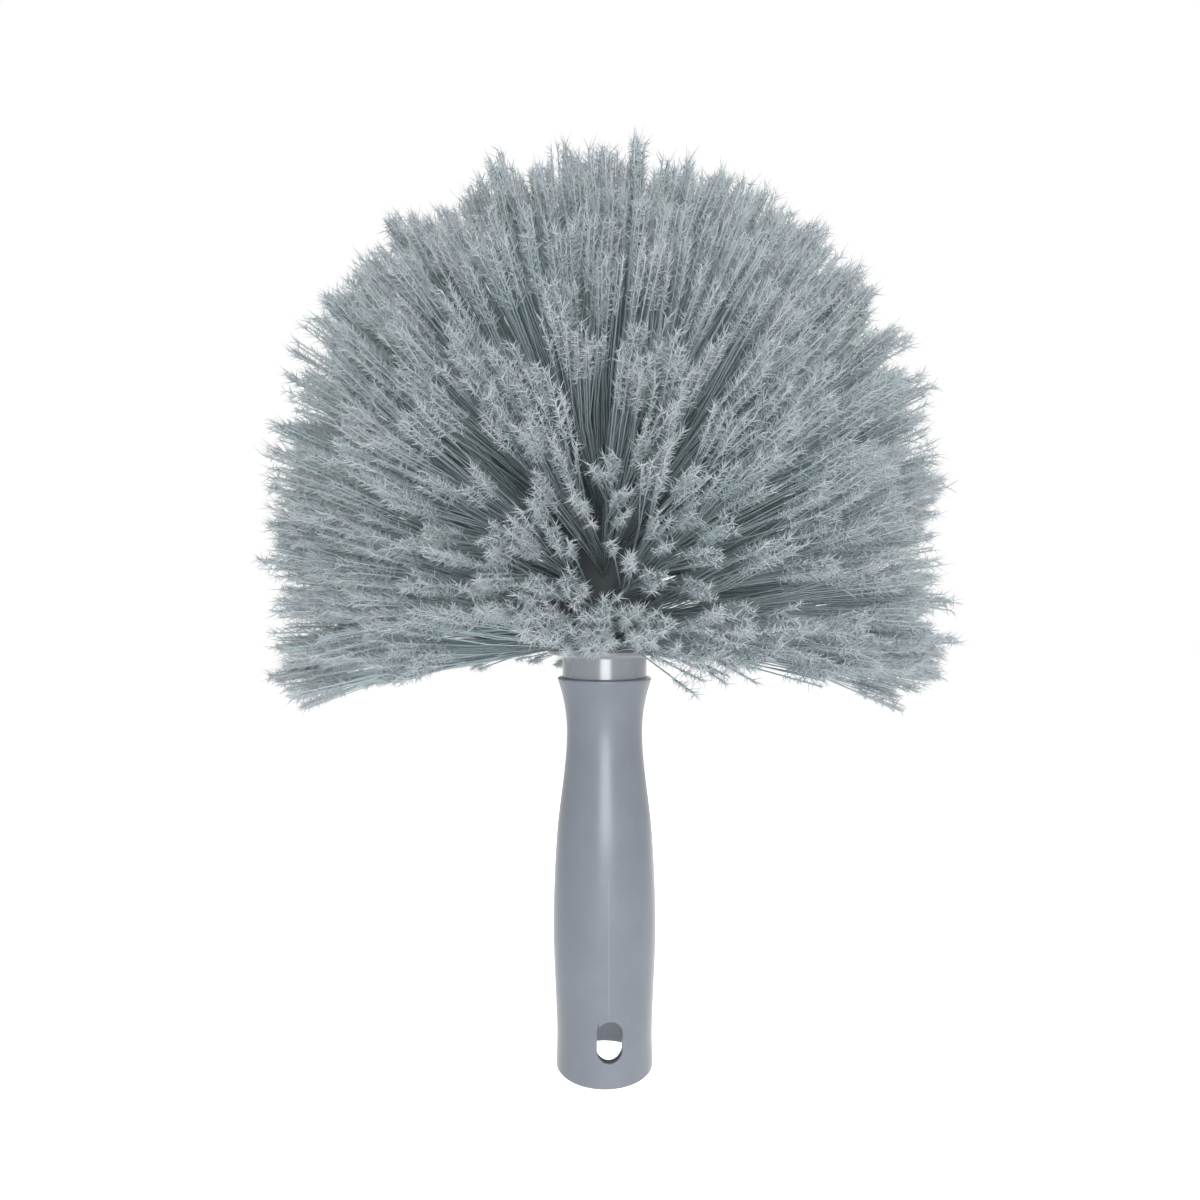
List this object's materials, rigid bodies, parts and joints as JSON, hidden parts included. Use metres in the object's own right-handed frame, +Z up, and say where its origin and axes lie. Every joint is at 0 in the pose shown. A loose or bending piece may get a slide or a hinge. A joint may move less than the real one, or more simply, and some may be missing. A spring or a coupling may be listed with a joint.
{
  "type": "cobweb brush",
  "caption": "Round, bullet-shaped cobweb brush of flagged bristle tufts on a short hollow plastic handle that takes a pole.",
  "frame": {"origin": "middle of the handle's open bottom rim, at the mouth of the pole socket", "axes": "+Z up along the handle to the top of the bristles, -Y the front with the slot, +X to the right of it"},
  "size_m": [0.214, 0.2167, 0.2907],
  "materials": {
    "handle": "satin moulded",
    "block": "gloss moulded",
    "bristle": "flagged fibre",
    "steel": "zinc plated"
  },
  "bodies": {
    "root": {"handle": "handle", "brush_block": "block", "fixing_screw": "steel", "fixing_washer": "steel", "tuft_row_1": "bristle", "tuft_row_2": "bristle", "tuft_row_3": "bristle", "tuft_row_4": "bristle", "tuft_row_5": "bristle", "tuft_row_6": "bristle", "tuft_row_7": "bristle", "tuft_row_8": "bristle", "tuft_row_9": "bristle", "tuft_row_10": "bristle", "tuft_row_11": "bristle", "crown_tuft": "bristle", "staple_row_1": "steel", "staple_row_2": "steel", "staple_row_3": "steel", "staple_row_4": "steel", "staple_row_5": "steel", "staple_row_6": "steel", "staple_row_7": "steel", "staple_row_8": "steel", "staple_row_9": "steel", "staple_row_10": "steel", "staple_row_11": "steel", "crown_staple": "steel"}
  },
  "joints": []
}
